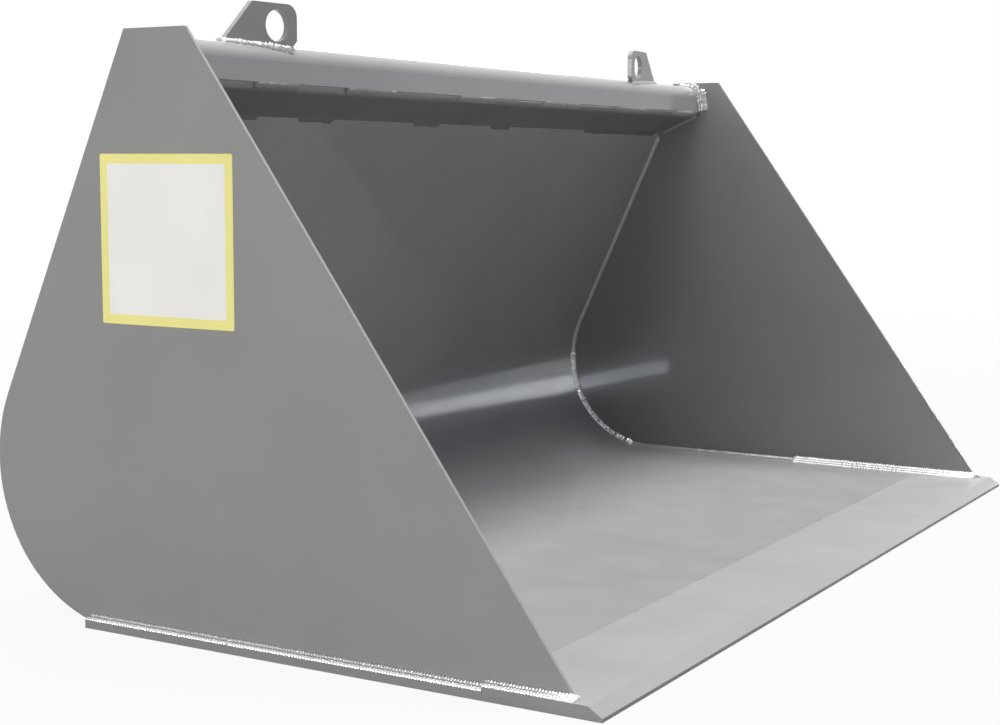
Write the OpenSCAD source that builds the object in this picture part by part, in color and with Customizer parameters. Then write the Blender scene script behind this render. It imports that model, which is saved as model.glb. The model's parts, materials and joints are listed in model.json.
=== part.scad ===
// Front loader bucket, welded up from sheet, folded sections and flat bar.
// X runs across the bucket, the mouth faces -Y, and Z counts up from the ground.
// Side views are drawn as [y, z] with y counted back from the tip of the cutting edge.

/* [Side plates] */
// Width over the outer faces of the side plates
bucket_w = 1600; // [1200:10:2400]
// Height of the side plates
side_h = 757; // [680:1:840]
// Tip of the cutting edge to the plate's bottom front corner
mouth_foot = 39; // [25:1:60]
// Tip of the cutting edge to the plate's top front corner
mouth_top = 575; // [500:1:620]
// Level top edge of the plate, front to back
top_edge = 97; // [85:1:130]
// Angle by which the back leans forward
rear_lean = 24.7; // [20:0.1:28]
// Thickness of the side plates
plate_t = 5; // [4:0.5:10]
// Radius of the plate's round lower rear corner
corner_r = 207; // [170:1:240]
// How far the plates stand out past the shell's outer face
overhang = 10; // [8:0.5:16]

/* [Shell] */
// Thickness of the sheet that forms floor, curve and back
sheet_t = 5; // [4:0.5:7]
// Inside radius of the curve
bend_r = 180; // [150:1:210]

/* [Cutting edge] */
// Front to back size of the edge bar
edge_depth = 150; // [120:5:200]
// Thickness of the edge bar
edge_t = 16; // [14:1:20]
// Thickness left at the tip
tip_t = 4.6; // [3:0.1:7]
// Front to back size of the ground bevel
bevel = 18; // [12:1:25]
// How far the edge bar sticks out past each side plate, which is also the side bars' width
ledge = 13; // [10:1:20]

/* [Wear bars] */
// Height of the flat bar along the foot of each side plate
bar_h = 10.5; // [8:0.5:14]
// How far the bar runs on past the start of the round corner
bar_tail = 48; // [20:1:60]
// Width of the runners under the floor
runner_w = 80; // [50:5:120]
// Space between the rear of the cutting edge and the runners
runner_gap = 20; // [12:1:60]

/* [Top beam] */
// Thickness of the folded beam
beam_t = 5; // [4:0.5:6]
// Outer radius of the beam's round top
beam_r = 25; // [20:0.5:28]
// How far the beam stays below the top of the side plates
beam_drop = 7; // [6:0.5:12]
// Length of the flat front below the round top
beam_front_h = 29; // [25:0.5:40]
// Angle of the front face, its foot standing forward
beam_lean = 8; // [5:0.5:16]
// Length of the rear flange that lies on the back sheet
beam_flange = 30; // [20:1:35]

/* [Closing plate] */
// Thickness of the plate that closes the beam from below
closer_t = 5; // [4:0.5:6]
// Outer radius of its bent front lip
lip_r = 14; // [12:0.5:16]
// How far the lip shows below the beam's front face
lip_drop = 12; // [8:0.5:14]
// Length of the lip's flange behind the face
lip_flange = 18; // [10:1:22]
// Slope of the plate down to the back sheet
closer_slope = 22.6; // [18:0.1:27]

/* [Lifting eyes] */
// Distance between the two eyes' holes
lift_spacing = 1096; // [800:2:1150]
// Thickness of the eyes
lift_t = 8; // [6:0.5:10]
// Radius of the hole
lift_r = 21; // [16:0.5:23]
// Height of the hole's centre over the beam
lift_rise = 26.5; // [25:0.5:34]
// Plate above the hole's centre
lift_top = 29.5; // [28:0.5:36]
// Plate from the hole's centre to the upright inner edge
lift_in = 38; // [34:0.5:46]
// Plate from the hole's centre to the outer end of the level top
lift_out = 45; // [30:0.5:48]
// Plate from the hole's centre to the outer end of the foot
lift_foot = 100; // [70:1:108]
// Radius of the rounded inner top corner
lift_corner = 18; // [10:0.5:22]
// Clipped inner corner of the foot
lift_clip = 8; // [4:0.5:10]
// Angle by which the eyes' inner ends turn to the mouth
lift_toe = 7; // [0:0.5:8]
// How far the eyes stand in front of the beam's crown
lift_set = 8; // [6:0.5:12]

/* [Hitch] */
// Distance between the middles of the two hitch brackets
hitch_spacing = 1105; // [900:1:1120]
// Thickness of the brackets
hitch_t = 20; // [15:1:25]
// Height of the locking eye's centre over the ground
eye_h = 135; // [125:1:160]
// Space from the curve's outer face to the locking eye's centre
eye_reach = 41; // [38:0.5:60]
// Radius of the locking eye's hole
eye_r = 16; // [14:0.5:18]
// Plate round the locking eye's hole
eye_rim = 22; // [16:0.5:26]
// Height of the hook's centre over the locking eye's
hook_rise = 500; // [460:1:515]
// How far the hook's centre lies in front of the locking eye's
hook_set = 50; // [35:1:60]
// Radius of the hook's mouth
hook_r = 24; // [20:0.5:27]
// Plate round the hook's mouth
hook_rim = 26; // [20:0.5:30]
// Length of the hook's tip below its centre
hook_tip = 25; // [15:0.5:30]
// Width of the backing strips between brackets and back sheet
strip_w = 100; // [80:1:140]
// Thickness of the backing strips
strip_t = 8; // [6:0.5:12]
// Bare sheet above and below the backing strips
strip_margin = 20; // [15:1:40]
// Thickness of the gussets beside the brackets
gusset_t = 10; // [6:0.5:14]
// Height of the gussets over the backing strips
gusset_h = 60; // [40:1:70]

/* [Welds] */
// Leg of the plain fillet welds
weld_leg = 5; // [4:0.5:6]
// Width of the beads over the side bars and the ends of the cutting edge
bar_bead_w = 9; // [6:0.5:10]
// Height of the same beads
bar_bead_h = 5; // [3:0.5:6]
// Gap between cutting edge and floor sheet that the seam weld fills
root_gap = 3; // [2:0.5:4]

/* [Hidden] */
$fn = 96;

// Overrun of every cut past the face it breaks through
over = 1;
// Place of a bead's crown, where a half would be flat
crown_share = 0.58;
// Angle by which a bend runs on inside its legs, and how far it is set in from their faces
lap = 0.3;
lap_step = 0.01;
// Angle on the lip, from the beam's front face on, down to which the stitches reach
stitch_turn = 61;

// Stitches as [start, length] in shares of the inner width, from the middle
face_stitch_shares = [
    [-0.386, 0.061], [-0.257, 0.079], [-0.069, 0.081], [0.101, 0.082], [0.272, 0.078], [0.43, 0.05]
];
foot_stitch_shares = [[-0.352, 0.036], [-0.258, 0.053], [-0.07, 0.047], [0.08, 0.04], [0.294, 0.19]];
// Gussets' places along the seat of the hitch bracket
gusset_shares = [0.46, 0.9];

function unit(angle) = [cos(angle), sin(angle)];
// The point at height z of a line that runs along the back, reach away from the origin
function on_back(reach, z) = [(reach - z * sin(rear_lean)) / cos(rear_lean), z];

inner_w = bucket_w - 2 * plate_t;
inner_x = inner_w / 2;
outer_x = bucket_w / 2;
back_n = unit(rear_lean);
back_up = unit(rear_lean + 90);

// Shell: floor, curve and back are tangent
side_back = back_n * [mouth_top + top_edge, side_h];
shell_out = side_back - overhang;
shell_in = shell_out - sheet_t;
floor_under = edge_t - sheet_t;
bend_c = on_back(shell_in - bend_r, edge_t + bend_r);
corner_c = on_back(side_back - corner_r, corner_r);
bar_rear = corner_c[0] + bar_tail;
seam_y = edge_depth + root_gap;
under_y = seam_y + weld_leg;

// Beam: its round top is tangent to the back sheet, which ends there
beam_top = side_h - beam_drop;
beam_c = on_back(shell_in - beam_r, beam_top - beam_r);
wall_len = (beam_c - bend_c) * back_up;
face_angle = 180 - beam_lean;
face_n = unit(face_angle);
face_down = unit(face_angle + 90);
face_end = beam_c + beam_r * face_n + beam_front_h * face_down;

// Closing plate: lip behind the face, then a web down to the back sheet
lip_z = face_end[1] - lip_drop + lip_r;
lip_back = (beam_t + lip_r + sin(beam_lean) * (lip_z - face_end[1])) / cos(beam_lean);
lip_c = [face_end[0] + lip_back, lip_z];
lip_down = (lip_c - beam_c) * face_down;
under_angle = 270 - closer_slope;
under_run = unit(-closer_slope);
// Length of the web from the lip to the back sheet, on the face that lies r from the lip's centre
function web_len(r) = (shell_in - back_n * (lip_c + r * unit(under_angle))) / (back_n * under_run);
closer_foot = lip_c + lip_r * unit(under_angle) + web_len(lip_r) * under_run;
closer_up = (closer_foot - bend_c) * back_up;

// Lifting eyes: the plate reaches down into the beam's round top, which then cuts its seat
lift_y = beam_c[0] - lift_set;
lift_low = -lift_rise - beam_r / 2;
function beam_crown(y) = beam_c[1] + sqrt(max(beam_r * beam_r - pow(y - beam_c[0], 2), 0));

// Hitch
hitch_x = hitch_spacing / 2;
eye_rr = eye_r + eye_rim;
eye_c = [bend_c[0] + bend_r + sheet_t + eye_reach, eye_h];
hook_rr = hook_r + hook_rim;
hook_c = eye_c + [-hook_set, hook_rise];
strip_out = sheet_t + strip_t;
strip_len = wall_len - 2 * strip_margin;
bracket_up = (on_back(shell_out + strip_t, hook_c[1] + hook_rr) - bend_c) * back_up;
gusset_up = [for (share = gusset_shares) strip_margin + share * (bracket_up - strip_margin)];
bracket_low = asin((eye_c[1] - eye_rr - bend_c[1]) / (bend_r + sheet_t));

// Front to back size of the whole bucket, which the origin halves
depth = max(eye_c[0] + eye_rr, corner_c[0] + corner_r);

paint = "#8a8a88";
paint_dark = "#6f7374";
steel = "#b9bab6";
bead_grey = "#a9adae";

// Everything is drawn for the right side and from the tip back, then placed
module placed(side = "right") {
    translate([0, -depth / 2, 0])
        if (side == "left") mirror([1, 0, 0]) children();
        else children();
}

// A side view's outline as a slab of width w round x
module slab(w, x = 0) {
    translate([x - w / 2, 0, 0]) rotate([90, 0, 90]) linear_extrude(w) children();
}

// Frames in which y points out of a sheet's face and z runs along it: the curve's centre and the
// back sheet, the beam's centre, its front face and the centre of the closing plate's lip
module at_curve() {
    translate([0, bend_c[0], bend_c[1]]) children();
}

module at_back() {
    at_curve() rotate([rear_lean, 0, 0]) children();
}

module at_beam() {
    at_back() translate([0, bend_r - beam_r, wall_len]) children();
}

module at_lip() {
    at_beam() rotate([face_angle - rear_lean, 0, 0])
        translate([0, beam_r - beam_t - lip_r, lip_down]) children();
}

// Sections are drawn as [x, out], with out counted outwards from radius r.
// A section bent from one angle to another, with straight legs before and after the bend.
// The bend runs on a little way inside its legs, set in from their faces.
module bent(r, from, to, before, after, section) {
    leg = [for (p = section) [p[0], r + p[1]]];
    arc = [for (p = set_in(section)) [r + p[1], p[0]]];
    start = before > 0 ? from - lap : from;
    end = after > 0 ? to + lap : to;
    if (before > 0)
        rotate([from, 0, 0]) translate([0, 0, -before]) linear_extrude(before) polygon(leg);
    rotate([start, 0, 0]) rotate([90, 0, 90]) rotate_extrude(angle = end - start) polygon(arc);
    if (after > 0) rotate([to, 0, 0]) linear_extrude(after) polygon(leg);
}

// A section that follows the shell's inner face from y back, round the curve and up the back
module along_shell(section, y, up) {
    at_curve() bent(bend_r, -90, rear_lean, bend_c[0] - y, up, section);
}

// A straight section on the back sheet, from low to high above the curve
module up_back(low, high, section) {
    at_back() translate([0, 0, low]) linear_extrude(high - low)
        polygon([for (p = section) [p[0], bend_r + p[1]]]);
}

// A section's points moved towards its middle
function set_in(section) = let (middle = (section[0] + section[2]) / 2)
    [for (p = section) p + lap_step * [sign(middle[0] - p[0]), sign(middle[1] - p[1])]];

function band(low, high) = [[-inner_x, low], [inner_x, low], [inner_x, high], [-inner_x, high]];

// A fillet in the corner at [x, out], with its legs as signed lengths
function fillet(x, out, leg_x, leg_out) = [
    [x, out], [x + leg_x, out],
    [x + crown_share * leg_x, out + crown_share * leg_out], [x, out + leg_out]
];

module side_outline() {
    polygon([
        [mouth_foot, edge_t], [edge_depth, edge_t], [edge_depth, 0], [corner_c[0], 0],
        corner_c + corner_r * back_n, [mouth_top + top_edge, side_h], [mouth_top, side_h]
    ]);
    translate(corner_c) circle(corner_r);
}

module side_plate(side) {
    color(paint) placed(side) slab(plate_t, outer_x - plate_t / 2) side_outline();
}

module shell() {
    color(paint) placed() along_shell(band(0, sheet_t), seam_y, wall_len);
}

module cutting_edge() {
    color(steel) placed() slab(bucket_w + 2 * ledge)
        polygon([[0, 0], [edge_depth, 0], [edge_depth, edge_t], [bevel, edge_t], [0, tip_t]]);
}

module wear_bar(side) {
    color(paint) placed(side) slab(ledge, outer_x + ledge / 2) translate([edge_depth, 0])
        square([bar_rear - edge_depth, bar_h]);
}

module floor_runner(side) {
    color(paint_dark) placed(side) slab(runner_w, hitch_x) translate([edge_depth + runner_gap, 0])
        square([bend_c[0] - edge_depth - runner_gap, floor_under]);
}

module top_beam() {
    color(paint) placed() at_beam()
        bent(beam_r, 0, face_angle - rear_lean, beam_flange, beam_front_h, band(-beam_t, 0));
}

// The web is cut to lie against the back sheet
module closing_plate() {
    color(paint_dark) placed() difference() {
        at_lip() bent(lip_r, 0, under_angle - face_angle, lip_flange,
            max(web_len(lip_r), web_len(lip_r - closer_t)) + over, band(-closer_t, 0));
        at_back() translate([-outer_x, bend_r, 0]) cube([bucket_w, depth, wall_len]);
    }
}

module beam_core() {
    at_beam() rotate([0, 90, 0]) cylinder(r = beam_r, h = bucket_w, center = true);
}

// Puts a piece drawn round the lifting eye's hole in its place on the beam
module lift_place() {
    translate([lift_spacing / 2, lift_y, beam_top + lift_rise]) rotate([0, 0, lift_toe]) children();
}

module lifting_eye_outline() {
    difference() {
        union() {
            polygon([
                [lift_clip - lift_in, lift_low], [lift_foot, lift_low],
                [lift_foot, -lift_rise], [lift_out, lift_top],
                [lift_corner - lift_in, lift_top], [-lift_in, lift_top - lift_corner],
                [-lift_in, lift_clip - lift_rise], [lift_clip - lift_in, -lift_rise]
            ]);
            translate([lift_corner - lift_in, lift_top - lift_corner]) circle(lift_corner);
        }
        circle(lift_r);
    }
}

module lifting_eye(side) {
    color(paint) placed(side) difference() {
        lift_place() translate([0, lift_t / 2, 0]) rotate([90, 0, 0])
            linear_extrude(lift_t) lifting_eye_outline();
        beam_core();
    }
}

// A bead on both faces and both ends of the eye's foot, cut to the beam's round top
module lifting_eye_weld(side) {
    half = lift_t / 2;
    toe = half + weld_leg;
    base = beam_top + lift_rise;
    inner_end = lift_clip - lift_in;
    color(bead_grey) placed(side) difference() {
        lift_place() translate([inner_end - weld_leg, 0, 0]) rotate([90, 0, 90])
            linear_extrude(lift_foot - inner_end + 2 * weld_leg) polygon([
                [-toe, lift_low], [-toe, beam_crown(lift_y - toe) - base],
                [-half, beam_crown(lift_y - half) + weld_leg - base],
                [half, beam_crown(lift_y + half) + weld_leg - base],
                [toe, beam_crown(lift_y + toe) - base], [toe, lift_low]
            ]);
        lift_place() translate([inner_end, -half, lift_low - over])
            cube([lift_foot - inner_end, lift_t, lift_top - lift_low + 2 * over]);
        beam_core();
    }
}

module backing_strip(side) {
    color(paint) placed(side) up_back(strip_margin, strip_margin + strip_len, [
        [hitch_x - strip_w / 2, sheet_t], [hitch_x + strip_w / 2, sheet_t],
        [hitch_x + strip_w / 2, strip_out], [hitch_x - strip_w / 2, strip_out]
    ]);
}

// The side view of all that the shell and the backing strip take up behind the bucket
module shell_and_strip() {
    translate(bend_c) {
        circle(bend_r + sheet_t);
        rotate(rear_lean) {
            translate([-depth, 0]) square([depth + bend_r + sheet_t, wall_len + depth]);
            translate([0, strip_margin]) square([bend_r + strip_out, strip_len]);
        }
    }
}

module hook_outline() {
    translate(hook_c) difference() {
        circle(hook_rr);
        translate([-hook_r, -hook_rr - over]) square([hook_r + hook_rr + over, hook_rr + over - hook_tip]);
    }
}

// One plate with the upper hook, open downwards, and the eye for the locking pin
module hitch_bracket(side) {
    color(paint) placed(side) slab(hitch_t, hitch_x) difference() {
        union() {
            hook_outline();
            polygon([
                [bend_c[0], eye_c[1] - eye_rr], eye_c - [0, eye_rr], eye_c + [eye_rr, 0],
                hook_c - [hook_r, hook_rr], hook_c, hook_c + [0, hook_rr],
                on_back(shell_in, hook_c[1] + hook_rr)
            ]);
            translate(eye_c) circle(eye_rr);
        }
        translate(hook_c) circle(hook_r);
        translate(hook_c - [hook_r, hook_rr]) square([2 * hook_r, hook_rr]);
        translate(eye_c) circle(eye_r);
        shell_and_strip();
    }
}

// Three-cornered plates on both sides of the bracket, square to the back
module hitch_gussets(side) {
    color(paint) placed(side) for (up = gusset_up, way = [-1, 1]) {
        near = hitch_x + way * hitch_t / 2;
        far = hitch_x + way * strip_w / 2;
        up_back(up, up + gusset_t, [[near, strip_out], [far, strip_out], [near, strip_out + gusset_h]]);
    }
}

module inside_weld(side) {
    color(bead_grey) placed(side)
        along_shell(fillet(inner_x, 0, -weld_leg, -weld_leg), mouth_foot, closer_up);
}

module outside_weld(side) {
    color(bead_grey) placed(side)
        along_shell(fillet(inner_x, sheet_t, -weld_leg, weld_leg), under_y, wall_len);
}

// A bead on the outer face of the side plate, from y back to tail at height z
module outer_bead(side, y, tail, z) {
    color(bead_grey) placed(side) translate([0, y, z]) rotate([-90, 0, 0])
        linear_extrude(tail - y) polygon(fillet(outer_x, 0, bar_bead_w, -bar_bead_h));
}

module floor_seam_weld() {
    color(bead_grey) placed() slab(inner_w) polygon([
        [edge_depth, edge_t], [seam_y, edge_t], [seam_y, floor_under],
        [under_y, floor_under], [edge_depth, floor_under - weld_leg]
    ]);
}

// Over the beam's round top and down its front face, against the side plate
module beam_end_weld(side) {
    color(bead_grey) placed(side) at_beam() bent(beam_r, 0, face_angle - rear_lean, 0, beam_front_h,
        fillet(inner_x, 0, -weld_leg, weld_leg));
}

module beam_back_weld() {
    color(bead_grey) placed() at_beam() slab(inner_w - 2 * weld_leg)
        polygon([[beam_r, 0], [beam_r + sheet_t, 0], [beam_r, weld_leg]]);
}

module stitches(shares) {
    for (stitch = shares)
        slab(stitch[1] * inner_w, (stitch[0] + stitch[1] / 2) * inner_w) children();
}

// From the lower edge of the beam's front face down onto the lip
module beam_face_stitches() {
    edge = (face_end - lip_c) * face_down;
    color(bead_grey) placed() at_lip() stitches(face_stitch_shares) difference() {
        polygon([[0, 0], [lip_r, edge], [lip_r + beam_t, edge], lip_r * unit(stitch_turn)]);
        circle(lip_r);
    }
}

// In the corner between the closing plate's underside and the back sheet
module closing_plate_stitches() {
    foot = [bend_r, closer_up];
    color(bead_grey) placed() at_back() stitches(foot_stitch_shares)
        polygon([foot, foot - weld_leg * unit(-closer_slope - rear_lean), foot - [0, weld_leg]]);
}

// Between the gussets on both sides of the bracket, and on down round the curve
module hitch_weld(side) {
    starts = concat([strip_margin], [for (up = gusset_up) up + gusset_t]);
    ends = concat(gusset_up, [bracket_up]);
    color(bead_grey) placed(side) for (way = [-1, 1]) {
        x = hitch_x + way * hitch_t / 2;
        for (i = [0 : len(starts) - 1])
            up_back(starts[i], ends[i], fillet(x, strip_out, way * weld_leg, weld_leg));
        at_curve() bent(bend_r, bracket_low, rear_lean, 0, strip_margin,
            fillet(x, sheet_t, way * weld_leg, weld_leg));
    }
}

module strip_weld(side) {
    color(bead_grey) placed(side) for (way = [-1, 1])
        up_back(strip_margin, strip_margin + strip_len,
            fillet(hitch_x + way * strip_w / 2, sheet_t, way * weld_leg, weld_leg));
}

side_plate("left");  // left_side_plate
side_plate("right");  // right_side_plate
shell();
cutting_edge();
wear_bar("left");  // left_wear_bar
wear_bar("right");  // right_wear_bar
floor_runner("left");  // left_floor_runner
floor_runner("right");  // right_floor_runner
top_beam();
closing_plate();
lifting_eye("left");  // left_lifting_eye
lifting_eye("right");  // right_lifting_eye
backing_strip("left");  // left_backing_strip
backing_strip("right");  // right_backing_strip
hitch_bracket("left");  // left_hitch_bracket
hitch_bracket("right");  // right_hitch_bracket
hitch_gussets("left");  // left_hitch_gussets
hitch_gussets("right");  // right_hitch_gussets
inside_weld("left");  // left_inside_weld
inside_weld("right");  // right_inside_weld
outside_weld("left");  // left_outside_weld
outside_weld("right");  // right_outside_weld
outer_bead("left", edge_depth, bar_rear, bar_h);  // left_bar_weld
outer_bead("right", edge_depth, bar_rear, bar_h);  // right_bar_weld
outer_bead("left", mouth_foot, edge_depth, edge_t);  // left_edge_weld
outer_bead("right", mouth_foot, edge_depth, edge_t);  // right_edge_weld
floor_seam_weld();
beam_end_weld("left");  // left_beam_end_weld
beam_end_weld("right");  // right_beam_end_weld
beam_back_weld();
beam_face_stitches();
closing_plate_stitches();
lifting_eye_weld("left");  // left_lifting_eye_weld
lifting_eye_weld("right");  // right_lifting_eye_weld
hitch_weld("left");  // left_hitch_weld
hitch_weld("right");  // right_hitch_weld
strip_weld("left");  // left_strip_weld
strip_weld("right");  // right_strip_weld
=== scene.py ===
import json
import math
import bmesh
import bpy
import numpy as np
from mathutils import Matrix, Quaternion, Vector, noise


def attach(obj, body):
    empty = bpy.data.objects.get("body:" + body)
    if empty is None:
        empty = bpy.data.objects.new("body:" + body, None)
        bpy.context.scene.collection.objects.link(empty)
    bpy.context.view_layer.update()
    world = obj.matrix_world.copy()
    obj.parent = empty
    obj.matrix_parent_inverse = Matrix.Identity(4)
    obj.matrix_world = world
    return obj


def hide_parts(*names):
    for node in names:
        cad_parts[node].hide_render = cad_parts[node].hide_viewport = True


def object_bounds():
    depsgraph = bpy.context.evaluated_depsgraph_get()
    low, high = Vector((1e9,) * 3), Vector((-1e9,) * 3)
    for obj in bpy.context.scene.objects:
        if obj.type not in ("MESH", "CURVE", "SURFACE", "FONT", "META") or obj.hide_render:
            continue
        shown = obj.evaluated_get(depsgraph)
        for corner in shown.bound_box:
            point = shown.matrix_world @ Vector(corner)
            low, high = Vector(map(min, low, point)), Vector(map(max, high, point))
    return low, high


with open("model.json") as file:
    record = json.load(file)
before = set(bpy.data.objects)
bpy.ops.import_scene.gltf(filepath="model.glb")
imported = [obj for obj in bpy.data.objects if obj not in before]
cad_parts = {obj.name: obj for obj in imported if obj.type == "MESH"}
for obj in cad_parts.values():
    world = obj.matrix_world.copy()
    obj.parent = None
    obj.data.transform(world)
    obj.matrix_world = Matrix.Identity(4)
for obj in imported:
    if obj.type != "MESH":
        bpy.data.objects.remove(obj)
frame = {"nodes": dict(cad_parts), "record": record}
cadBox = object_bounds()
tip = cadBox[0][1]  # the tip of the cutting edge, from which depths are counted back
scene = bpy.context.scene
scene.view_settings.view_transform = "Standard"

camera = dict(
    place=(-2.4251, -1.3075, 0.5924), turn=(83.5376, -0.2349, -59.5528), lens=62.59, sensor=36,
    clip=(0.05, 60))


def addCamera():
    turn = [math.radians(angle) for angle in camera["turn"]]
    bpy.ops.object.camera_add(location=camera["place"], rotation=turn)
    eye = bpy.context.object
    eye.data.lens, eye.data.sensor_width = camera["lens"], camera["sensor"]
    eye.data.clip_start, eye.data.clip_end = camera["clip"]
    scene.camera = eye


addCamera()
print("camera set")

# a dim even room, a soft lamp overhead and wide lamps on the left, on the right and behind
# the gloss lamps show only as streaks in the paint of the curve and of the right side plate
light = dict(
    room=(0.04, 0.072, 0.145),
    lamps=[
        dict(name="overhead", place=(1.1, -0.5, 8.5), aim=(0, 0, 0.3), size=(5, 5), power=1400),
        dict(
            name="left_side", place=(-8, 0.8, 1.6), aim=(-0.8, 0, 0.4), size=(4, 2), power=272,
            colour=(1, 0.975, 0.92)),
        dict(name="right_side", place=(6.5, 5, 1.8), aim=(0.8, 0, 0.4), size=(3, 2), power=230),
        dict(name="behind", place=(0, 8, 3.4), aim=(0, 0.2, 0.5), size=(6, 2), power=220),
        dict(
            name="gloss", place=(2.86, -1.01, 0.6), aim=(0.4, 0.39, 0.15), size=(0.8, 0.42), power=5,
            colour=(0.9, 0.92, 1), glossOnly=True),
        dict(
            name="soft_gloss", place=(2.86, -1.01, 0.36), aim=(0.4, 0.39, 0.15), size=(0.9, 0.8), power=3.6,
            colour=(0.94, 0.96, 1), glossOnly=True),
        dict(
            name="corner_gloss", place=(0.695, 0.3395, 0.148), aim=(0.795, 0.29, 0.1615), size=(0.2, 0.028),
            power=0.08, colour=(0.85, 0.9, 1), glossOnly=True, roll=12),
    ],
)
stage = dict(size=40, colour=(0.25, 0.25, 0.25), rough=0.9, glow=0.93, near=1.8, far=5)


def addLamp(name, place, aim, size, power, colour=(1, 0.99, 0.97), glossOnly=False, roll=0):
    bpy.ops.object.light_add(type="AREA", location=place)
    lamp = bpy.context.object
    lamp.name = name
    lamp.data.shape, lamp.data.size, lamp.data.size_y = "RECTANGLE", *size
    lamp.data.energy = power
    lamp.data.color = colour
    lamp.data.use_shadow = not glossOnly
    lamp.data.cycles.use_multiple_importance_sampling = not glossOnly
    lamp.visible_diffuse = not glossOnly
    lamp.visible_camera = False
    turn = (Vector(aim) - Vector(place)).to_track_quat("-Z", "Y") @ Quaternion((0, 0, 1), math.radians(roll))
    lamp.rotation_euler = turn.to_euler()


def seenStraight(nodes, links):
    # 1 where a surface is seen by the camera, in a gloss or through glass
    rays = nodes.new("ShaderNodeLightPath")
    total = rays.outputs["Is Camera Ray"]
    for other in ("Is Glossy Ray", "Is Transmission Ray"):
        most = nodes.new("ShaderNodeMath")
        most.operation = "MAXIMUM"
        links.new(total, most.inputs[0])
        links.new(rays.outputs[other], most.inputs[1])
        total = most.outputs[0]
    return total


def setRoom():
    world = bpy.data.worlds.new("room")
    scene.world = world
    world.use_nodes = True
    nodes, links = world.node_tree.nodes, world.node_tree.links
    sky = nodes["Background"]
    sky.inputs["Color"].default_value = (*light["room"], 1)
    sky.inputs["Strength"].default_value = 1
    white = nodes.new("ShaderNodeBackground")
    white.inputs["Color"].default_value = (1, 1, 1, 1)
    white.inputs["Strength"].default_value = 1
    mix = nodes.new("ShaderNodeMixShader")
    links.new(seenStraight(nodes, links), mix.inputs["Fac"])
    links.new(sky.outputs[0], mix.inputs[1])
    links.new(white.outputs[0], mix.inputs[2])
    links.new(mix.outputs[0], nodes["World Output"].inputs["Surface"])


def addStage():
    bpy.ops.mesh.primitive_plane_add(size=stage["size"], location=(0, 0, 0))
    ground = bpy.context.object
    ground.name = "ground"
    pale = bpy.data.materials.new("pale_floor")
    pale.use_nodes = True
    nodes, links = pale.node_tree.nodes, pale.node_tree.links
    matt = nodes["Principled BSDF"]
    matt.inputs["Base Color"].default_value = (*stage["colour"], 1)
    matt.inputs["Roughness"].default_value = stage["rough"]
    glow = nodes.new("ShaderNodeEmission")
    glow.inputs["Color"].default_value = (1, 1, 1, 1)
    reach = nodes.new("ShaderNodeVectorMath")
    reach.operation = "LENGTH"
    links.new(nodes.new("ShaderNodeTexCoord").outputs["Object"], reach.inputs[0])
    fade = nodes.new("ShaderNodeMapRange")  # the shadow fades out before the floor ends
    fade.inputs["From Min"].default_value = stage["near"]
    fade.inputs["From Max"].default_value = stage["far"]
    fade.inputs["To Min"].default_value = stage["glow"]
    fade.inputs["To Max"].default_value = 1
    links.new(reach.outputs["Value"], fade.inputs["Value"])
    share = nodes.new("ShaderNodeMath")
    share.operation = "MULTIPLY"
    links.new(fade.outputs[0], share.inputs[1])
    links.new(seenStraight(nodes, links), share.inputs[0])
    mix = nodes.new("ShaderNodeMixShader")
    links.new(share.outputs[0], mix.inputs["Fac"])
    links.new(matt.outputs[0], mix.inputs[1])
    links.new(glow.outputs[0], mix.inputs[2])
    links.new(mix.outputs[0], nodes["Material Output"].inputs["Surface"])
    ground.data.materials.append(pale)


setRoom()
for lamp in light["lamps"]:
    addLamp(**lamp)
addStage()
print("light and floor set")

# finishes: colour with soft blotches and fine grain, roughness that varies, and a bump for its skin
paints = dict(
    grey_paint=dict(
        colour=(0.305, 0.305, 0.297), metallic=0.1, rough=0.4, blotch=0.03, grain=0.02, bump=0.03, coat=0.45),
    # shaded_paint is a darker copy of grey_paint: painted shade under the beam
    shaded_paint=dict(
        colour=(0.16, 0.175, 0.168), metallic=0.1, rough=0.4, blotch=0.05, grain=0.03, bump=0.03, coat=0.4),
    edge_paint=dict(
        colour=(0.31, 0.31, 0.302), metallic=0.1, rough=0.5, blotch=0.04, grain=0.03, bump=0.05, coat=0.2),
    weld_bead=dict(
        colour=(0.37, 0.37, 0.36), metallic=0.15, rough=0.3, blotch=0.06, grain=0.08, bump=0.3, coat=1),
    # a much lighter copy of the bead paint: painted highlight for beads that face the top light
    highlight_bead=dict(
        colour=(0.66, 0.67, 0.67), metallic=0.65, rough=0.22, blotch=0.08, grain=0.12, bump=0.3, coat=1),
    # a paler copy of the bead paint: painted highlight for the top-lit passes on the floor
    soft_highlight_bead=dict(
        colour=(0.5, 0.5, 0.49), metallic=0.3, rough=0.3, blotch=0.08, grain=0.15, bump=0.3, coat=1),
    rough_bead=dict(
        colour=(0.34, 0.35, 0.36), metallic=0.7, rough=0.16, blotch=0.15, grain=0.3, bump=0.6, coat=1),
)
# what all paints share: the noise scales of their patterns, and their clear coat
skin = dict(blotches=4.5, grains=420, streaks=14, bumps=260, depth=0.0006, coatRough=0.1, specular=0.05)
# the closing plate's front lip is painted as the beam is; behind it, under the beam, the darker shaded paint
# is painted shade
lipShadeFade = dict(front=0.6215 + tip, rear=0.630 + tip)


def addNoise(nodes, links, place, scale, detail):
    cloud = nodes.new("ShaderNodeTexNoise")
    cloud.inputs["Scale"].default_value = scale
    cloud.inputs["Detail"].default_value = detail
    links.new(place, cloud.inputs["Vector"])
    return cloud.outputs["Fac"]


noiseRange = (0.3, 0.7)


def spread(nodes, links, value, low, high):
    # maps a noise, which stays in noiseRange, to low..high
    span = nodes.new("ShaderNodeMapRange")
    span.inputs["From Min"].default_value, span.inputs["From Max"].default_value = noiseRange
    span.inputs["To Min"].default_value = low
    span.inputs["To Max"].default_value = high
    links.new(value, span.inputs["Value"])
    return span.outputs["Result"]


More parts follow.
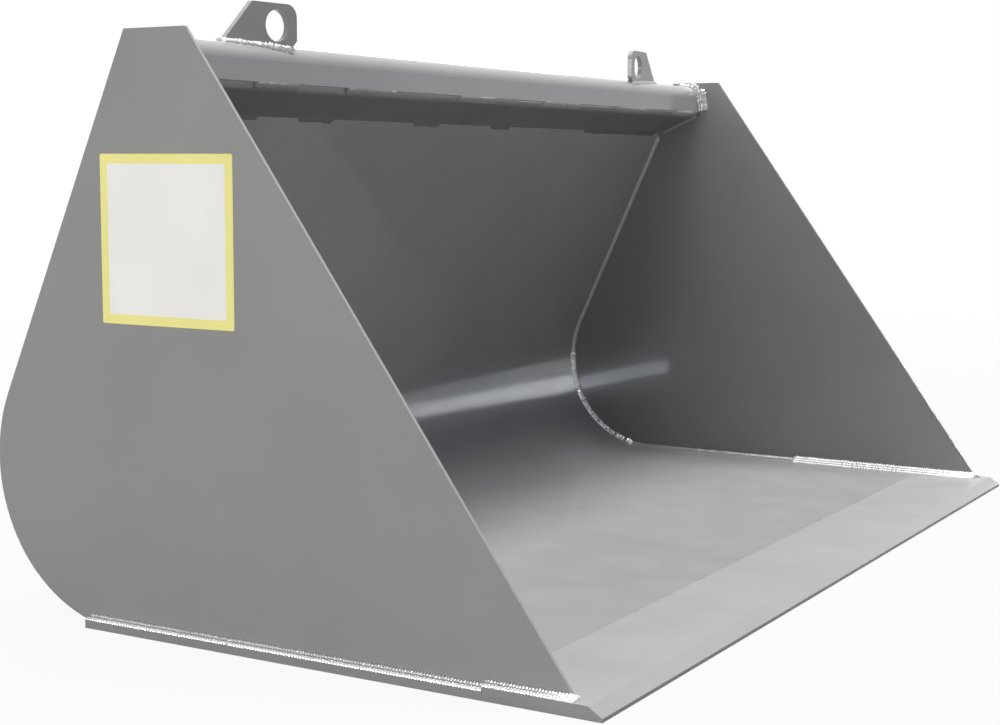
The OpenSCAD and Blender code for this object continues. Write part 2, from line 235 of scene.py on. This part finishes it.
def fadeBack(nodes, links, place, front, rear, spot, limits):
    # one colour in front of a line across the bucket, another behind it
    parts = nodes.new("ShaderNodeSeparateXYZ")
    links.new(place, parts.inputs[0])
    share = nodes.new("ShaderNodeMapRange")
    share.inputs["From Min"].default_value = limits["front"]
    share.inputs["From Max"].default_value = limits["rear"]
    links.new(parts.outputs["Y"], share.inputs["Value"])
    mix = nodes.new("ShaderNodeMix")
    mix.data_type = "RGBA"
    mix.inputs["A"].default_value = (*front, 1)
    mix.inputs["B"].default_value = (*rear, 1)
    links.new(share.outputs[0], mix.inputs["Factor"])
    links.new(mix.outputs["Result"], spot)


def paintMaterial(name, colour, metallic, rough, blotch, grain, bump, coat):
    paint = bpy.data.materials.new(name)
    paint.use_nodes = True
    nodes, links = paint.node_tree.nodes, paint.node_tree.links
    shader = nodes["Principled BSDF"]
    shader.inputs["Metallic"].default_value = metallic
    shader.inputs["Coat Weight"].default_value = coat
    shader.inputs["Coat Roughness"].default_value = skin["coatRough"]
    shader.inputs["Specular IOR Level"].default_value = skin["specular"]
    place = nodes.new("ShaderNodeTexCoord").outputs["Object"]
    large = addNoise(nodes, links, place, skin["blotches"], 3)
    small = addNoise(nodes, links, place, skin["grains"], 2)
    both = nodes.new("ShaderNodeMath")
    both.operation = "MULTIPLY"
    links.new(spread(nodes, links, large, 1 - blotch, 1 + blotch), both.inputs[0])
    links.new(spread(nodes, links, small, 1 - grain, 1 + grain), both.inputs[1])
    tint = nodes.new("ShaderNodeVectorMath")
    tint.operation = "SCALE"
    tint.inputs[0].default_value = colour
    links.new(both.outputs[0], tint.inputs["Scale"])
    # the closing plate keeps the grey on its lip and turns to painted shade behind it
    if name == "shaded_paint":
        fadeBack(nodes, links, place, paints["grey_paint"]["colour"], colour, tint.inputs[0], lipShadeFade)
    links.new(tint.outputs[0], shader.inputs["Base Color"])
    streaks = addNoise(nodes, links, place, skin["streaks"], 4)
    links.new(spread(nodes, links, streaks, rough * 0.85, rough * 1.2), shader.inputs["Roughness"])
    relief = nodes.new("ShaderNodeBump")
    relief.inputs["Strength"].default_value = bump
    relief.inputs["Distance"].default_value = skin["depth"]
    links.new(addNoise(nodes, links, place, skin["bumps"], 3), relief.inputs["Height"])
    links.new(relief.outputs[0], shader.inputs["Normal"])
    return paint


materials = {name: paintMaterial(name, **values) for name, values in paints.items()}
for sub in frame["record"]["subparts"]:
    node = frame["nodes"][sub["node"]]
    for place in node.material_slots:
        place.material = materials[sub["material_slot"]]
bpy.ops.object.select_all(action="DESELECT")
print("paint on")

# the shell's side view, in metres: floor, curve and back, with the curve's centre and the back's lean
shell = dict(
    centre=(0.71539, 0.196), radius=0.18, sheet=0.005, lean=math.radians(24.7), side=0.795, outer=0.8,
    steps=32)
sides = dict(left=-1, right=1)
alongX = Vector((1, 0, 0))
upward = Vector((0, 0, 1))
quarter = math.pi / 2


def at(x, depth, height):
    return Vector((x, tip + depth, height))


def facing(angle):
    # a direction in the side view, counted from straight back towards up
    return Vector((0, math.cos(angle), math.sin(angle)))


def shellPath(side, x, lift, start, up, inward):
    # along the shell at lift from its inner face: (point, across, out) at each step
    steps = []
    out = -1 if inward else 1
    low, high = -quarter, shell["lean"]
    radius = shell["radius"] + lift
    centre = at(side * x, *shell["centre"])
    across = -side * alongX
    floorLength = Vector((0, shell["centre"][0] - start, 0))
    steps.append((centre + facing(low) * radius - floorLength, across, out * facing(low)))
    for i in range(shell["steps"] + 1):
        angle = low + (high - low) * i / shell["steps"]
        steps.append((centre + facing(angle) * radius, across, out * facing(angle)))
    steps.append((steps[-1][0] + facing(high + quarter) * up, across, steps[-1][2]))
    return steps


def straightRun(start, end, across, out):
    return [(start, across, out), (end, across, out)]


# one ripple of a bead: place along it, and size there
ripple = [(0, 0.82), (0.3, 1), (0.75, 0.95), (1, 0.82)]
# how a bead's width wanders: slow waves per metre, quick waves per ripple, and its size at the very end
waves = dict(slow=45, quick=0.9, row=7, end=0.2)
gritScale = 0.0035
mergeAt = 1e-5  # two points closer than this are one


def filletSection(legs, crown, passes=1, sink=0.0006):
    # a rounded bead in a corner, seen from its end, as (across, out)
    a, b = legs
    face = []
    last = 5 * passes  # five facets to a pass
    for i in range(last + 1):
        t = i / last
        swell = crown * abs(math.sin(math.pi * passes * t)) / math.hypot(a, b)
        face.append((a * (1 - t) + swell * b, b * t + swell * a))
    return face + [(-sink, b), (-sink, -sink), (a, -sink)]


def beadStock(name, section, length, pitch, bulge):
    # a straight bead: one ripple drawn step by step, then repeated
    bpy.ops.mesh.primitive_circle_add(
        vertices=len(section), radius=0.01, fill_type="NOTHING", rotation=(0, quarter, 0))
    stock = bpy.context.object
    stock.name = name
    bpy.ops.object.transform_apply(location=True, rotation=True, scale=True)
    bpy.ops.object.mode_set(mode="EDIT")
    mesh = bmesh.from_edit_mesh(stock.data)
    for vertex, (across, out) in zip(sorted(mesh.verts, key=lambda v: v.index), section):
        vertex.co = (0, across * ripple[0][1], out * ripple[0][1])
    bmesh.update_edit_mesh(stock.data)
    bpy.ops.mesh.select_all(action="SELECT")
    for (was, before), (now, size) in zip(ripple, ripple[1:]):
        bpy.ops.mesh.extrude_region_move(TRANSFORM_OT_translate={"value": ((now - was) * pitch, 0, 0)})
        bpy.ops.transform.resize(value=(1, size / before, size / before), center_override=(now * pitch, 0, 0))
    mesh = bmesh.from_edit_mesh(stock.data)
    reach = max(math.hypot(*p) for p in section)
    for vertex in mesh.verts:
        vertex.co.x += bulge * min(vertex.co.y, vertex.co.z) / reach
    bmesh.update_edit_mesh(stock.data)
    bpy.ops.object.mode_set(mode="OBJECT")
    row = stock.modifiers.new("row", "ARRAY")
    row.count = max(2, round(length / pitch))
    row.use_relative_offset = False
    row.use_constant_offset = True
    row.constant_offset_displace = (pitch, 0, 0)
    row.use_merge_vertices = True
    row.merge_threshold = mergeAt
    bpy.ops.object.modifier_apply(modifier=row.name)
    return stock


def wavesAt(along, pitch, seed):
    slow = noise.noise(Vector((along * waves["slow"], seed, 0)))
    quick = noise.noise(Vector((along / pitch * waves["quick"], seed, waves["row"])))
    return slow, quick


def layAlong(stock, path, pitch, wander, ends, seed):
    # puts a straight bead on its path, with a wandering width and rounded ends
    points = np.array([list(p) for p, _, _ in path])
    across = np.array([list(a) for _, a, _ in path])
    out = np.array([list(o) for _, _, o in path])
    gone = np.concatenate([[0], np.cumsum(np.linalg.norm(np.diff(points, axis=0), axis=1))])
    co = np.zeros(len(stock.data.vertices) * 3)
    stock.data.vertices.foreach_get("co", co)
    co = co.reshape(-1, 3)
    new = np.zeros(co.shape)
    along = co[:, 0] * gone[-1] / co[:, 0].max()
    size = np.ones(len(along))
    for i, place in enumerate(along):
        slow, quick = wavesAt(place, pitch, seed)
        size[i] = 1 + wander * slow + wander * quick
    near = np.clip(np.minimum(along, gone[-1] - along) / ends, 0, 1)
    size *= waves["end"] + (1 - waves["end"]) * np.sqrt(1 - (1 - near) ** 2)
    for k in range(3):
        sideways = co[:, 1] * np.interp(along, gone, across[:, k])
        outward = co[:, 2] * np.interp(along, gone, out[:, k])
        new[:, k] = np.interp(along, gone, points[:, k]) + size * (sideways + outward)
    stock.data.vertices.foreach_set("co", new.ravel())


def finishBead(stock, grit):
    bpy.context.view_layer.objects.active = stock
    bpy.ops.object.mode_set(mode="EDIT")
    bpy.ops.mesh.select_all(action="SELECT")
    bpy.ops.mesh.remove_doubles(threshold=mergeAt)
    bpy.ops.mesh.fill_holes(sides=0)
    bpy.ops.mesh.normals_make_consistent(inside=False)
    bpy.ops.object.mode_set(mode="OBJECT")
    clouds = bpy.data.textures.new(stock.name, "CLOUDS")
    clouds.noise_scale = gritScale
    rough = stock.modifiers.new("grit", "DISPLACE")
    rough.texture = clouds
    rough.strength = grit
    rough.mid_level = 0.5
    bpy.ops.object.modifier_apply(modifier=rough.name)
    bpy.ops.object.shade_smooth()


def layBeads(
        name, node, runs, section,
        pitch=0.0034, bulge=0.0024, wander=0.12, ends=0.006, grit=0.0006, finish="weld_bead"):
    # every run as a rippled bead, joined to one piece, which takes the CAD weld's place where there is one
    parts = []
    for i, path in enumerate(runs):
        length = sum((b[0] - a[0]).length for a, b in zip(path, path[1:]))
        stock = beadStock(f"{name}_{i}", section, length, pitch, bulge)
        layAlong(stock, path, pitch, wander, ends, len(name) + 3.7 * i)
        finishBead(stock, grit)
        stock.select_set(False)
        parts.append(stock)
    for part in parts:
        part.select_set(True)
    bpy.context.view_layer.objects.active = parts[0]
    if len(parts) > 1:
        bpy.ops.object.join()
    bead = bpy.context.object
    bead.name = name
    bead.data.materials.clear()
    bead.data.materials.append(materials[finish])
    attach(bead, "root")
    if node:
        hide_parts(node)
    bead.select_set(False)


corner = filletSection((0.0062, 0.0058), 0.0007)
insideRun = dict(start=0.041, up=0.421)
outsideRun = dict(start=0.160, up=0.509)
# passes over the inside bead: a wide one on the front of the floor, a rough one in the curve
# the floor passes take the paler bead paint, a painted highlight
floorCover = dict(
    section=filletSection((0.0220, 0.0100), 0.0012, passes=3), wander=0.15, grit=0.0009, finish="soft_highlight_bead")
floorCoverRun = dict(front=dict(left=0.048, right=0.038), rear=0.400, height=0.016)
bendCover = dict(
    section=filletSection((0.0090, 0.0080), 0.0012),
    pitch=0.006, bulge=0.004, wander=0.4, ends=0.012, grit=0.0028, finish="rough_bead")
bendCoverSteps = slice(4, 28)
for name, side in sides.items():
    inside = shellPath(side, shell["side"], 0, insideRun["start"], insideRun["up"], True)
    layBeads(f"{name}_inside_bead", f"{name}_inside_weld", [inside], corner)
    outside = shellPath(side, shell["side"], shell["sheet"], outsideRun["start"], outsideRun["up"], False)
    layBeads(f"{name}_outside_bead", f"{name}_outside_weld", [outside], corner)
    front = at(side * shell["side"], floorCoverRun["front"][name], floorCoverRun["height"])
    rear = at(side * shell["side"], floorCoverRun["rear"], floorCoverRun["height"])
    floorPass = straightRun(front, rear, -side * alongX, upward)
    layBeads(f"{name}_floor_cover_bead", None, [floorPass], **floorCover)
    layBeads(f"{name}_bend_cover_bead", None, [inside[bendCoverSteps]], **bendCover)
print("beads in the shell's corners laid")

# beads on the outside of the side plates: over the flat bar and over the end of the cutting edge
footRuns = dict(
    bar=dict(height=0.0105, passes=[(0.151, 0.519), (0.513, 0.7455)]),
    edge=dict(height=0.016, passes=[(0.034, 0.154)]),
)
# the foot beads take the lighter bead paint, a painted highlight
footBead = dict(
    section=[
        (0.0121, 0), (0.0119, 0.0016), (0.0108, 0.0033), (0.0088, 0.0042), (0.0070, 0.0042),
        (0.0058, 0.0053), (0.0040, 0.0066), (0.0020, 0.0070), (0, 0.0066), (-0.0006, 0.0066),
        (-0.0006, -0.0006), (0.0121, -0.0006),
    ],
    pitch=0.0042, bulge=0.002, wander=0.04, ends=0.003, grit=0.0012, finish="highlight_bead")


def footRun(side, front, rear, height):
    x = side * shell["outer"]
    return straightRun(at(x, front, height), at(x, rear, height), side * alongX, upward)


for name, side in sides.items():
    for what, foot in footRuns.items():
        runs = [footRun(side, front, rear, foot["height"]) for front, rear in foot["passes"]]
        layBeads(f"{name}_{what}_bead", f"{name}_{what}_weld", runs, **footBead)
print("beads on the side plates laid")

# the top beam: its centre, its round top, its leaning face and the ends of its rear bead
beam = dict(centre=(0.64269, 0.725), radius=0.025, face=math.radians(172), front=0.029, half=0.79, steps=20)
endBead = dict(pitch=0.0042, wander=0.25, grit=0.0022, finish="rough_bead")
endLegs = dict(left=(0.0060, 0.0055), right=(0.0055, 0.0115))
# rough passes at the beam's ends, as depth, height and the angle they face
facePass = [(0.616, 0.7440, 135), (0.6090, 0.7375, 152), (0.6060, 0.7270, 172), (0.6040, 0.7010, 176)]
topPass = [(0.662, 0.7465, 60), (0.654, 0.7480, 75), (0.645, 0.7490, 90)]
endPasses = dict(left=[facePass], right=[facePass, topPass])
endCover = dict(
    section=filletSection((0.0070, 0.0090), 0.0012),
    pitch=0.0050, wander=0.4, grit=0.0030, finish="rough_bead")


def beamEnd(side):
    steps = []
    centre = at(side * shell["side"], *beam["centre"])
    for i in range(beam["steps"] + 1):
        angle = shell["lean"] + (beam["face"] - shell["lean"]) * i / beam["steps"]
        steps.append((centre + facing(angle) * beam["radius"], -side * alongX, facing(angle)))
    steps.append((steps[-1][0] + facing(beam["face"] + quarter) * beam["front"], *steps[-1][1:]))
    return steps


def beamEndCover(side, run):
    x = side * shell["side"]
    return [(at(x, y, z), -side * alongX, facing(math.radians(angle))) for y, z, angle in run]


for name, side in sides.items():
    section = filletSection(endLegs[name], 0.0010, passes=2)
    layBeads(f"{name}_beam_end_bead", f"{name}_beam_end_weld", [beamEnd(side)], section, **endBead)
    covers = [beamEndCover(side, run) for run in endPasses[name]]
    layBeads(f"{name}_beam_cover_bead", None, covers, **endCover)

backUp = facing(shell["lean"] + quarter)
beamBack = at(0, *beam["centre"]) + facing(shell["lean"]) * beam["radius"]
beamReach = beam["half"] * alongX
backRun = straightRun(beamBack - beamReach, beamBack + beamReach, facing(shell["lean"]), backUp)
layBeads("beam_back_bead", "beam_back_weld", [backRun], filletSection((0.0052, 0.0052), 0.0006))


def stitchRuns(origin, stitches, across, out):
    # stitches across the bucket, as start and length in metres
    return [straightRun(origin + s * alongX, origin + (s + l) * alongX, across, out) for s, l in stitches]


lip = dict(centre=(0.63337, 0.70176), radius=0.014, turn=math.radians(205), steps=5)
lipOut, lipDown = facing(beam["face"]), facing(beam["face"] + quarter)
lipStitches = [
    (-0.614, 0.097), (-0.409, 0.126), (-0.110, 0.129), (0.161, 0.130), (0.432, 0.124), (0.684, 0.080)]
lipBead = dict(
    section=[
        (0.0190, 0.0040), (0.0197, 0.0062), (0.0194, 0.0088), (0.0182, 0.0108), (0.0152, 0.0123),
        (0.0110, 0.0128), (0.0078, 0.0112), (0.0112, 0.0070), (0.0135, 0.0040),
    ],
    bulge=0.0015, wander=0.05)
lipRuns = stitchRuns(at(0, *lip["centre"]), lipStitches, lipOut, lipDown)
layBeads("beam_face_beads", "beam_face_stitches", lipRuns, **lipBead)

# the closing plate, which rises from the back sheet to the lip
closer = dict(foot=(0.70077, 0.65854), rise=22.6, lap=0.004)
closerFoot = at(0, *closer["foot"])
closerRun = Vector((0, -math.cos(math.radians(closer["rise"])), math.sin(math.radians(closer["rise"]))))
closerStitches = [(-0.560, 0.057), (-0.410, 0.084), (-0.111, 0.075), (0.127, 0.064), (0.467, 0.302)]
# the stitches under the beam take the shaded paint: painted shade
closerBead = dict(section=filletSection((0.0065, 0.0060), 0.0010), wander=0.3, finish="shaded_paint")
closerRuns = stitchRuns(closerFoot, closerStitches, closerRun, -backUp)
layBeads("closing_plate_beads", "closing_plate_stitches", closerRuns, **closerBead)


def closerEnd(side):
    # the closing plate's end on the side plate: round the lip, then up the underside to the back
    centre = at(side * shell["side"], *lip["centre"])
    down = math.radians(270 - closer["rise"])
    steps = []
    for angle in np.linspace(lip["turn"], down, lip["steps"]):
        steps.append((centre + facing(angle) * lip["radius"], -side * alongX, facing(angle)))
    foot = closerFoot + side * shell["side"] * alongX + closerRun * closer["lap"]
    return steps + [(foot, -side * alongX, facing(down))]


closerEndBead = dict(section=filletSection((0.0045, 0.0045), 0.0005), finish="grey_paint")
for name, side in sides.items():
    layBeads(f"{name}_closer_end_bead", None, [closerEnd(side)], **closerEndBead)
print("beads on the beam laid")

# lifting eyes: the bead runs round the foot, and follows the beam's round top
eye = dict(x=0.548, depth=0.63469, toe=math.radians(7), ends=(-0.030, 0.100), half=0.004, sink=0.0004)
eyeSteps = (0, 0.1, 0.3, 0.5, 0.7, 0.9, 1)
eyeLegs = dict(left=(0.0070, 0.0064), right=(0.0048, 0.0044))
eyeBead = dict(wander=0.4, ends=0.003, grit=0.0018)


def eyeRun(side):
    right = Vector((side * math.cos(eye["toe"]), math.sin(eye["toe"]), 0))
    back = Vector((-side * math.sin(eye["toe"]), math.cos(eye["toe"]), 0))
    foot = at(side * eye["x"], eye["depth"], 0)
    axis = at(0, *beam["centre"])
    inner, outer = eye["ends"]
    ring = [(inner, -1), (outer, -1), (outer, 1), (inner, 1), (inner, -1)]
    steps = []
    for (x, y), (x2, y2) in zip(ring, ring[1:]):
        away = back * y if y == y2 else right * (1 if x > 0 else -1)
        for t in eyeSteps:
            spot = foot + right * (x + (x2 - x) * t) + back * eye["half"] * (y + (y2 - y) * t)
            spot.z = axis.z + math.sqrt(beam["radius"] ** 2 - (spot.y - axis.y) ** 2)
            normal = Vector((0, spot.y - axis.y, spot.z - axis.z)).normalized()
            across = (away - normal * away.dot(normal)).normalized()
            steps.append((spot - normal * eye["sink"], across, upward))
    return steps


for name, side in sides.items():
    section = filletSection(eyeLegs[name], 0.0010)
    layBeads(f"{name}_lifting_eye_bead", f"{name}_lifting_eye_weld", [eyeRun(side)], section, **eyeBead)

# hitch: beads beside the brackets, broken by the gussets, and beads beside the backing strips
hitch = dict(
    x=0.5525, half=0.010, strip=0.008, stripHalf=0.050, low=math.radians(-32.35), margin=0.020, rise=0.471,
    seat=0.4495, gussets=(0.21757, 0.40655), gusset=0.010, steps=16)


def onBack(x, lift, height):
    return at(x, *shell["centre"]) + facing(shell["lean"]) * (shell["radius"] + lift) + backUp * height


def backRunUp(x, lift, low, high, way):
    return straightRun(onBack(x, lift, low), onBack(x, lift, high), way * alongX, facing(shell["lean"]))


def hitchRuns(side):
    runs = []
    onStrip = shell["sheet"] + hitch["strip"]
    outer = shell["radius"] + shell["sheet"]
    starts = [hitch["margin"]] + [g + hitch["gusset"] for g in hitch["gussets"]]
    for way in (-1, 1):
        x = side * hitch["x"] + way * hitch["half"]
        for low, high in zip(starts, [*hitch["gussets"], hitch["seat"]]):
            runs.append(backRunUp(x, onStrip, low, high, way))
        steps = []
        for i in range(hitch["steps"] + 1):
            angle = hitch["low"] + (shell["lean"] - hitch["low"]) * i / hitch["steps"]
            steps.append((at(x, *shell["centre"]) + facing(angle) * outer, way * alongX, facing(angle)))
        steps.append((steps[-1][0] + backUp * hitch["margin"], *steps[-1][1:]))
        runs.append(steps)
    return runs


def stripRuns(side):
    runs = []
    for way in (-1, 1):
        x = side * hitch["x"] + way * hitch["stripHalf"]
        runs.append(backRunUp(x, shell["sheet"], hitch["margin"], hitch["margin"] + hitch["rise"], way))
    return runs


for name, side in sides.items():
    layBeads(f"{name}_hitch_bead", f"{name}_hitch_weld", hitchRuns(side), corner)
    layBeads(f"{name}_strip_bead", f"{name}_strip_weld", stripRuns(side), corner)
print("beads on the hitch laid")

# a bare sticker on the left side plate: a pale yellow border round a white field
sticker = dict(front=0.505, low=0.394, width=0.210, height=0.211, border=0.012, corner=0.003, thick=0.00025)
films = dict(
    yellow_film=dict(colour=(1, 0.92, 0.28), rough=0.42),
    white_film=dict(colour=(1, 0.985, 0.93), rough=0.4),
)
filmLook = dict(tone=(0.97, 1.03), patches=9, ripples=30, bump=0.12, depth=0.0004)


def filmMaterial(name, colour, rough):
    finish = bpy.data.materials.new(name)
    finish.use_nodes = True
    nodes, links = finish.node_tree.nodes, finish.node_tree.links
    shader = nodes["Principled BSDF"]
    place = nodes.new("ShaderNodeTexCoord").outputs["Object"]
    tint = nodes.new("ShaderNodeVectorMath")
    tint.operation = "SCALE"
    tint.inputs[0].default_value = colour
    patches = addNoise(nodes, links, place, filmLook["patches"], 3)
    links.new(spread(nodes, links, patches, *filmLook["tone"]), tint.inputs["Scale"])
    links.new(tint.outputs[0], shader.inputs["Base Color"])
    shader.inputs["Roughness"].default_value = rough
    shader.inputs["Coat Weight"].default_value = 1
    shader.inputs["Coat Roughness"].default_value = skin["coatRough"]
    relief = nodes.new("ShaderNodeBump")
    relief.inputs["Strength"].default_value = filmLook["bump"]
    relief.inputs["Distance"].default_value = filmLook["depth"]
    links.new(addNoise(nodes, links, place, filmLook["ripples"], 2), relief.inputs["Height"])
    links.new(relief.outputs[0], shader.inputs["Normal"])
    return finish


def pickFaces(piece, wanted):
    bpy.ops.mesh.select_mode(type="FACE")
    bpy.ops.mesh.select_all(action="DESELECT")
    for face in bmesh.from_edit_mesh(piece.data).faces:
        if wanted(face):
            face.select = True
    bmesh.update_edit_mesh(piece.data)


def pickEdges(piece, wanted):
    bpy.ops.mesh.select_mode(type="EDGE")
    bpy.ops.mesh.select_all(action="DESELECT")
    for edge in bmesh.from_edit_mesh(piece.data).edges:
        if wanted(*(v.co for v in edge.verts)):
            edge.select = True
    bmesh.update_edit_mesh(piece.data)


def addSticker():
    thick, width, height = sticker["thick"], sticker["width"], sticker["height"]
    middle = at(-shell["outer"] - thick / 2, sticker["front"] + width / 2, sticker["low"] + height / 2)
    bpy.ops.mesh.primitive_cube_add(size=1, location=middle, scale=(thick, width, height))
    plate = bpy.context.object
    plate.name = "sticker"
    bpy.ops.object.transform_apply(location=True, rotation=True, scale=True)
    for name, values in films.items():
        plate.data.materials.append(filmMaterial(name, **values))
    bpy.ops.object.mode_set(mode="EDIT")
    pickFaces(plate, lambda face: face.normal.x < -0.9)
    bpy.ops.mesh.inset(thickness=sticker["border"])
    plate.active_material_index = 1
    bpy.ops.object.material_slot_assign()
    pickEdges(plate, lambda a, b: abs(a.x - b.x) > thick / 2)
    bpy.ops.mesh.bevel(offset=sticker["corner"], segments=4, affect="EDGES")
    bpy.ops.object.mode_set(mode="OBJECT")
    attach(plate, "root")
    plate.select_set(False)


addSticker()
print("sticker on")
